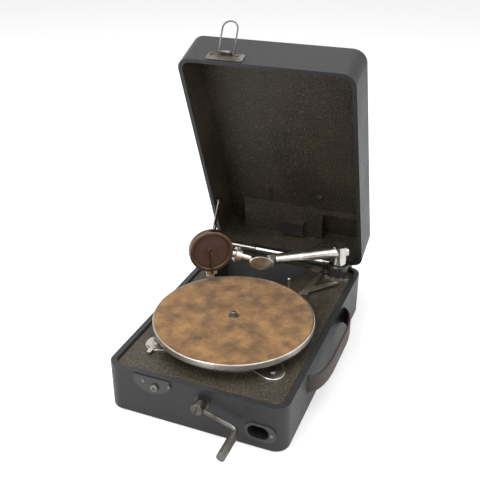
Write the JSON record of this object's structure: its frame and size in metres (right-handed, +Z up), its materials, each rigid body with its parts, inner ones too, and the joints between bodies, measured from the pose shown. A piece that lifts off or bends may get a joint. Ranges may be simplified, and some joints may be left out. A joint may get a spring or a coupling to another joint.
{
  "type": "portable gramophone",
  "caption": "Suitcase gramophone with open lid, felt turntable, crank, swinging arm with upright soundbox, side handle and spring motor.",
  "frame": {"origin": "centre of the case's footprint on the table", "axes": "+Z up, -Y the front wall with crank and lock, +X the handle side, +Y the hinge side"},
  "size_m": [0.2745, 0.4987, 0.473],
  "materials": {
    "leathercloth": "matt black embossed leathercloth over wood",
    "wood": "plain board",
    "black_paper": "black crackle covered board",
    "crackle": "crackle pattern lining paper",
    "nickel": "nickel plate",
    "steel": "plain steel",
    "black_enamel": "black enamel",
    "brass": "brass",
    "leather": "worn black and brown leather",
    "felt": "brown felt",
    "bronze": "tarnished brass",
    "diaphragm": "lacquered aluminium disc",
    "chrome": "bright chrome plate"
  },
  "bodies": {
    "case": {"case_shell": "leathercloth", "bottom_board": "wood", "motor_board": "black_paper", "motor_plate": "nickel", "motor_pillars": "steel", "motor_bottom_plate": "steel", "governor_brackets": "steel", "horn_duct": "black_enamel", "lock_plate": "nickel", "crank_escutcheon": "nickel", "storage_escutcheon": "nickel", "needle_cup": "nickel", "trip_pin": "nickel", "arm_flange": "nickel", "arm_collar": "black_enamel", "case_screws": "steel", "handle_strap": "leather", "handle_anchors": "steel", "case_hinge_leaves": "nickel", "stay_bracket": "steel"},
    "lid": {"lid_shell": "leathercloth", "lid_lining": "crackle", "deflector": "crackle", "buffer_block": "crackle", "lid_clips": "nickel", "lid_hinge_leaves": "nickel", "latch_plate": "nickel"},
    "latch_ring": {"latch_ring": "nickel"},
    "stay_lower": {"stay_lower": "steel"},
    "stay_upper": {"stay_upper": "steel"},
    "turntable": {"platter": "nickel", "felt": "felt", "washer": "nickel", "spindle": "steel", "spindle_gears": "brass"},
    "barrel": {"spring_barrel": "steel", "mainspring": "steel"},
    "arbor": {"barrel_arbor": "steel"},
    "mid_wheel": {"mid_wheel": "brass"},
    "governor": {"governor_shaft": "steel", "governor_weights": "steel"},
    "governor_pad": {"governor_pad": "steel"},
    "crank": {"crank_shaft": "steel", "crank_arm": "steel"},
    "grip": {"crank_grip": "steel"},
    "arm": {"arm_pillar": "chrome", "arm_tube": "chrome"},
    "knuckle": {"knuckle": "chrome"},
    "head": {"neck": "chrome", "clamp_collar": "nickel", "soundbox_back": "bronze", "soundbox_ring": "bronze", "diaphragm": "diaphragm", "needle_bar": "nickel", "needle_holder": "nickel"},
    "thumb_screw": {"thumb_screw": "nickel"},
    "brake": {"brake_lever": "nickel", "brake_pad": "leather"},
    "speed": {"speed_lever": "nickel"},
    "lock": {"lock_boss": "nickel"}
  },
  "joints": [
    {"name": "lid_hinge", "type": "hinge", "parent": "case", "child": "lid", "pos_m": [0, 0.1917, 0.07085], "axis": [-1, 0, 0], "range_deg": [-68, 0]},
    {"name": "latch_ring", "type": "hinge", "parent": "lid", "child": "latch_ring", "pos_m": [-0.057, 0.06328, 0.43409], "axis": [-1, 0, 0], "range_deg": [-138, 36]},
    {"name": "stay_lower_fold", "type": "hinge", "parent": "case", "child": "stay_lower", "pos_m": [-0.115, 0.11, 0.075], "axis": [-1, 0, 0], "range_deg": [-106.8, 0]},
    {"name": "stay_upper_fold", "type": "hinge", "parent": "lid", "child": "stay_upper", "pos_m": [-0.115, 0.16278, 0.16378], "axis": [1, 0, 0], "range_deg": [-141.5, 0]},
    {"name": "turntable_spin", "type": "hinge", "parent": "case", "child": "turntable", "pos_m": [0, -0.0504, 0.08], "axis": [0, 0, 1], "continuous": true},
    {"name": "barrel_turn", "type": "hinge", "parent": "case", "child": "barrel", "pos_m": [0.014, -0.09227, 0.03], "axis": [0, 0, 1], "continuous": true},
    {"name": "mid_wheel_turn", "type": "hinge", "parent": "case", "child": "mid_wheel", "pos_m": [-0.02152, -0.0713, 0.03], "axis": [0, 0, 1], "continuous": true},
    {"name": "governor_turn", "type": "hinge", "parent": "case", "child": "governor", "pos_m": [0, -0.0361, 0.0335], "axis": [1, 0, 0], "continuous": true},
    {"name": "crank_turn", "type": "hinge", "parent": "case", "child": "crank", "pos_m": [0.014, -0.195, 0.0505], "axis": [0, -1, 0], "continuous": true},
    {"name": "arbor_turn", "type": "hinge", "parent": "case", "child": "arbor", "pos_m": [0.014, -0.09227, 0.03], "axis": [0, 0, 1], "continuous": true},
    {"name": "grip_spin", "type": "hinge", "parent": "crank", "child": "grip", "pos_m": [0.06774, -0.23, 0.03304], "axis": [0, -1, 0], "continuous": true},
    {"name": "tonearm_swing", "type": "hinge", "parent": "case", "child": "arm", "pos_m": [0.095, 0.16, 0.08], "axis": [0, 0, 1], "range_deg": [0, 56]},
    {"name": "soundbox_turn", "type": "hinge", "parent": "arm", "child": "knuckle", "pos_m": [-0.0115, 0.0836, 0.112], "axis": [-0.8125, -0.5829, 0], "range_deg": [-90.1, 0]},
    {"name": "needle_lift", "type": "hinge", "parent": "knuckle", "child": "head", "pos_m": [-0.0115, 0.0836, 0.112], "axis": [-0.5829, 0.8125, 0], "range_deg": [0, 25]},
    {"name": "thumb_screw_turn", "type": "hinge", "parent": "head", "child": "thumb_screw", "pos_m": [-0.07343, 0.02822, 0.1025], "axis": [-0.8125, -0.5829, 0], "continuous": true},
    {"name": "brake_lever", "type": "hinge", "parent": "case", "child": "brake", "pos_m": [0.057, 0.042, 0.072], "axis": [0, 0, 1], "range_deg": [0, 8]},
    {"name": "speed_lever", "type": "hinge", "parent": "case", "child": "speed", "pos_m": [-0.085, -0.122, 0.072], "axis": [0, 0, 1], "range_deg": [0, 24]},
    {"name": "governor_pad_turn", "type": "hinge", "parent": "case", "child": "governor_pad", "pos_m": [0.0142, -0.0021, 0.04], "axis": [0, 0, 1], "range_deg": [-1.3, 0]},
    {"name": "lock_turn", "type": "hinge", "parent": "case", "child": "lock", "pos_m": [-0.0534, -0.189, 0.054], "axis": [0, -1, 0], "range_deg": [0, 90]}
  ],
  "couplings": [
    {"joint": "stay_lower_fold", "follows": "lid_hinge", "ratio": 1.5677},
    {"joint": "stay_upper_fold", "follows": "lid_hinge", "ratio": 2.0793},
    {"joint": "soundbox_turn", "follows": "lid_hinge", "ratio": 1.3235},
    {"joint": "mid_wheel_turn", "follows": "turntable_spin", "ratio": -0.25},
    {"joint": "barrel_turn", "follows": "turntable_spin", "ratio": 0.055556},
    {"joint": "governor_turn", "follows": "turntable_spin", "ratio": 10},
    {"joint": "arbor_turn", "follows": "crank_turn", "ratio": 0.46154},
    {"joint": "governor_pad_turn", "follows": "speed_lever", "ratio": -0.05}
  ]
}
